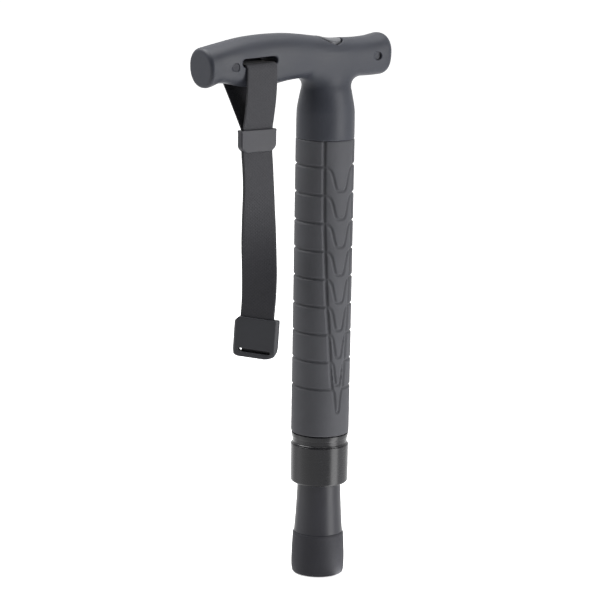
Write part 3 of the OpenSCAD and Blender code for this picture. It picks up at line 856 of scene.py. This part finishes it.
def make_strap():
    rows = strap_rows()
    centre = np.array([r[0] for r in rows])
    width = np.array([r[1] for r in rows])
    travel = np.gradient(centre, axis=0)
    for _ in range(3):
        travel[1:-1] = (travel[:-2] + 2 * travel[1:-1] + travel[2:]) / 4
    face = np.cross(width, travel)
    face /= np.linalg.norm(face, axis=1, keepdims=True)
    along = np.r_[0, np.cumsum(np.linalg.norm(np.diff(centre, axis=0), axis=1))]
    # Cross-section: flat faces with round selvedges
    edge = [(math.cos(t), math.sin(t)) for t in np.linspace(-math.pi / 2, math.pi / 2, 7)]
    flat = np.linspace(-1, 1, 15)[1:-1]
    half, thick = STRAP_W / 2, STRAP_T / 2
    section = [(half - thick + thick * c, thick * s) for c, s in edge]
    section += [(-f * (half - thick), thick) for f in flat]
    section += [(-half + thick - thick * c, -thick * s) for c, s in edge]
    section += [(f * (half - thick), -thick) for f in flat]
    section = np.array(section)
    points = centre[:, None] + width[:, None] * section[None, :, :1] + face[:, None] * section[None, :, 1:]
    count = len(section)
    faces = grid_faces(len(rows), count).tolist()
    faces.append(list(range(count)))
    faces.append([(len(rows) - 1) * count + k for k in range(count)])
    strap = new_piece("wrist_strap", points.reshape(-1, 3), faces, None, WEBBING,
                      ["strap_upper", "strap_tail"], sharp=70)
    for name, values in (("along", np.repeat(along, count)), ("across", np.tile(section[:, 0], len(rows)))):
        layer = strap.data.attributes.new(name, "FLOAT", "POINT")
        layer.data.foreach_set("value", values.astype(np.float32))
    tuple(tail_place(277) * MM)
    tuple(tail_place(267) * MM)
    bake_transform(strap)


def make_keeper():
    middle = (KEEPER_LOW + KEEPER_HIGH) / 2 + np.array([0.1, 0, 0.35])
    half = (KEEPER_HIGH - KEEPER_LOW) / 2 + np.array([0.05, 0, 0.35])

    def field(x, y, z):
        x, y, z = x - middle[0], y - middle[1], z - middle[2]
        body = box_field(x, y, z, half, 0.9)
        for side in (-1, 1):
            corner = (side * x - z - (half[0] + half[2] - 2.6)) / math.sqrt(2)
            body = overlap(body, corner, 1.2)
        lip = box_field(x, y, z - half[2] + 0.8, (half[0], half[1], 0.8), 0.5)
        body = np.minimum(body, lip)
        slot = np.maximum(np.abs(x) - STRAP_W / 2 - 0.5, np.abs(y) - 1.4)
        return cut_out(body, slot, 0.3)

    points, faces = surface_net(field, middle - half, middle + half, 0.3)
    new_piece("slide_keeper", points, faces, "keeper", KEEPER_PLASTIC, ["strap_keeper"])


def make_buckle():
    width, height, thick = 26.4, 23.4, 4.2
    place = tail_place(TAIL_BOTTOM_Z)
    middle_z, pocket_floor_z = 148.6, 149.4
    hole_w = height / 2 - 4
    turn = math.radians(TURN)
    lean = math.radians(-3.3)

    def field(x, y, z):
        dx, dy = x - place[0], y - place[1]
        u = dx * math.cos(turn) + dy * math.sin(turn)
        v = -dx * math.sin(turn) + dy * math.cos(turn)
        w = z - middle_z
        u, w = u * math.cos(lean) + w * math.sin(lean), w * math.cos(lean) - u * math.sin(lean)
        body = box_field(u, v, w, (width / 2, thick / 2, height / 2), 0.55)
        corners = [(-1, 1, 3, 0.5), (1, 1, 0.6, 0.3), (-1, -1, 1.5, 2), (1, -1, 2.6, 3.4)]
        for side, end, size, r in corners:
            corner = (side * u + end * w - (width + height) / 2 + size) / math.sqrt(2)
            body = overlap(body, corner, r)
        # Sloping side faces, steeper on the front
        for side in (-1, 1):
            bevel = (side * u - v - (width + thick) / 2 + 1.5) / math.sqrt(2)
            body = overlap(body, bevel, 0.3)
        pocket = np.maximum(np.abs(u) - STRAP_W / 2 - 0.3, np.abs(v) - 1.35)
        pocket = np.maximum(pocket, pocket_floor_z - z)
        body = cut_out(body, pocket, 0.35)
        slot = stadium_field(u + 0.2, w + hole_w, 19.6, 2)
        body = cut_out(body, np.maximum(slot, v - 0.9), 0.35)
        peephole = np.hypot(u + 9, w + hole_w) - 0.75
        return cut_out(body, peephole, 0.1)

    reach = width / 2 + 1
    low = (place[0] - reach, place[1] - reach, middle_z - height / 2 - 1)
    high = (place[0] + reach, place[1] + reach, middle_z + height / 2 + 1)
    points, faces = surface_net(field, low, high, 0.28)
    new_piece("strap_end_buckle", points, faces, "strap", BUCKLE_PLASTIC, ["end_buckle"])


make_strap()
make_keeper()
make_buckle()


# ---- CAD nodes that stay, with better materials ----

def repaint(nodes, material):
    for name in nodes:
        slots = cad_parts[name].material_slots
        for s in slots:
            s.material = material
        if not slots:
            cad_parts[name].data.materials.append(material)


STAGES = range(1, 5)
repaint(["outer_tube", "stage_4_plug"] + [f"stage_{n}_tube" for n in STAGES], DARK_ANODISED)
repaint([f"stage_{n}_end_ring" for n in STAGES[:-1]], GLOSS_BLACK)
repaint(["outer_bush", "latch_housing", "brake_shoe", "button_stem"], ACETAL)
repaint([f"stage_{n}_guide" for n in STAGES], ACETAL)
repaint(["handle_screws", "brake_spring", "button_spring", "latch_post", "tip_screw", "foot_washer"], STEEL)
repaint(["screw_inserts"], BRASS)


# ---- Studio ----

def area_light(name, place, target, size, power, colour=(1, 1, 1)):
    data = bpy.data.lights.new(name, "AREA")
    data.shape = "RECTANGLE"
    data.size, data.size_y = size
    data.energy = power
    data.color = colour
    light = bpy.data.objects.new(name, data)
    bpy.context.scene.collection.objects.link(light)
    light.location = place
    light.rotation_euler = (Vector(target) - Vector(place)).to_track_quat("-Z", "Y").to_euler()


def make_world():
    """White studio with a darker stretch on the left, which shapes the round parts."""
    world = bpy.data.worlds.new("studio")
    bpy.context.scene.world = world
    world.use_nodes = True
    tree = world.node_tree
    place = add(tree, "ShaderNodeTexCoord")
    side = add(tree, "ShaderNodeVectorMath", operation="DOT_PRODUCT")
    side.inputs[1].default_value = (-0.354, -0.354, 0.0)
    tree.links.new(place.outputs["Generated"], side.inputs[0])
    shift = add(tree, "ShaderNodeMath", operation="ADD")
    shift.inputs[1].default_value = 0.5
    tree.links.new(side.outputs["Value"], shift.inputs[0])
    greys = ((0.12, 1), (0.4, 0.6), (0.62, 0.3), (0.8, 0.09))
    dim = ramp(tree, shift.outputs[0], [(at, (grey,) * 3) for at, grey in greys])
    seen = add(tree, "ShaderNodeLightPath")
    strength = add(tree, "ShaderNodeMix")
    tree.links.new(seen.outputs["Is Camera Ray"], strength.inputs["Factor"])
    tree.links.new(dim, strength.inputs["A"])
    strength.inputs["B"].default_value = 1.05
    tree.links.new(strength.outputs["Result"], tree.nodes["Background"].inputs["Strength"])
    tree.nodes["Background"].inputs["Color"].default_value = (1, 1, 1, 1)


# Glow of the floor, as the object sees it, by compass angle from -Y towards +X in degrees. The
# dark stretch on the left of the key light stands for the dark side of a real studio.
GLOW_TOP = 5.0
FLOOR_GLOW = [
    (-180, 1.4), (-160, 0.95), (-142, 0.85), (-122, 1.4), (-98, 1.1), (-70, 0.9), (-5, 0.75),
    (8, 0.9), (16, 4.4), (36, 4.4), (45, 1.2), (90, 1.0), (112, 1.4), (180, 1.5),
]


def glow_by_compass(tree, table):
    place = add(tree, "ShaderNodeTexCoord")
    split = add(tree, "ShaderNodeSeparateXYZ")
    tree.links.new(place.outputs["Object"], split.inputs[0])
    front = add(tree, "ShaderNodeMath", operation="MULTIPLY")
    front.inputs[1].default_value = -1.0
    tree.links.new(split.outputs["Y"], front.inputs[0])
    angle = add(tree, "ShaderNodeMath", operation="ARCTAN2")
    tree.links.new(split.outputs["X"], angle.inputs[0])
    tree.links.new(front.outputs[0], angle.inputs[1])
    share = add(tree, "ShaderNodeMath", operation="MULTIPLY_ADD")
    share.inputs[1].default_value = 0.5 / math.pi
    share.inputs[2].default_value = 0.5
    tree.links.new(angle.outputs[0], share.inputs[0])
    return ramp(tree, share.outputs[0], [((a + 180) / 360, (g / GLOW_TOP,) * 3) for a, g in table])


def fade_with_distance(tree, near, far):
    place = add(tree, "ShaderNodeTexCoord")
    length = add(tree, "ShaderNodeVectorMath", operation="LENGTH")
    tree.links.new(place.outputs["Object"], length.inputs[0])
    fade = add(tree, "ShaderNodeMapRange")
    fade.inputs["From Min"].default_value = 0.35
    fade.inputs["From Max"].default_value = 1.2
    fade.inputs["To Min"].default_value = near
    fade.inputs["To Max"].default_value = far
    tree.links.new(length.outputs["Value"], fade.inputs["Value"])
    return fade.outputs["Result"]


def make_floor():
    size = 9.0
    floor = bpy.data.meshes.new("floor")
    corners = [(-size, -size, 0), (size, -size, 0), (size, size, 0), (-size, size, 0)]
    floor.from_pydata(corners, [], [(0, 1, 2, 3)])
    stage = bpy.data.objects.new("floor", floor)
    bpy.context.scene.collection.objects.link(stage)
    material, tree, bsdf = shader("floor_paper", (0.9, 0.9, 0.9), 0.95)
    bsdf.inputs["Specular IOR Level"].default_value = 0.1
    bsdf.inputs["Emission Color"].default_value = (1, 1, 1, 1)
    bsdf.inputs["Emission Strength"].default_value = 0.6
    grain = object_noise(tree, 400, 2)
    bump(tree, bsdf, (grain, 0.05, 0.0001))
    glow = add(tree, "ShaderNodeEmission")
    tree.links.new(fade_with_distance(tree, 1.15 * GLOW_TOP, 0.85 * GLOW_TOP), glow.inputs["Strength"])
    tree.links.new(glow_by_compass(tree, FLOOR_GLOW), glow.inputs["Color"])
    seen = add(tree, "ShaderNodeLightPath")
    paper = add(tree, "ShaderNodeMixShader")
    tree.links.new(seen.outputs["Is Camera Ray"], paper.inputs[0])
    tree.links.new(glow.outputs[0], paper.inputs[1])
    tree.links.new(bsdf.outputs[0], paper.inputs[2])
    tree.links.new(paper.outputs[0], tree.nodes["Material Output"].inputs["Surface"])
    floor.materials.append(material)


def make_studio():
    make_world()
    make_floor()
    bpy.context.scene.view_settings.view_transform = "Standard"
    area_light("key", (0.76, -1.42, 0.75), (0, 0, 0.15), (0.75, 1.3), 18)
    area_light("top", (0.1, 0.1, 1.7), (0, 0, 0.1), (1.2, 1.2), 16)
    area_light("rim", (-0.5, 0.6, 1.22), (0, 0, 0.17), (0.8, 0.8), 16)


make_studio()
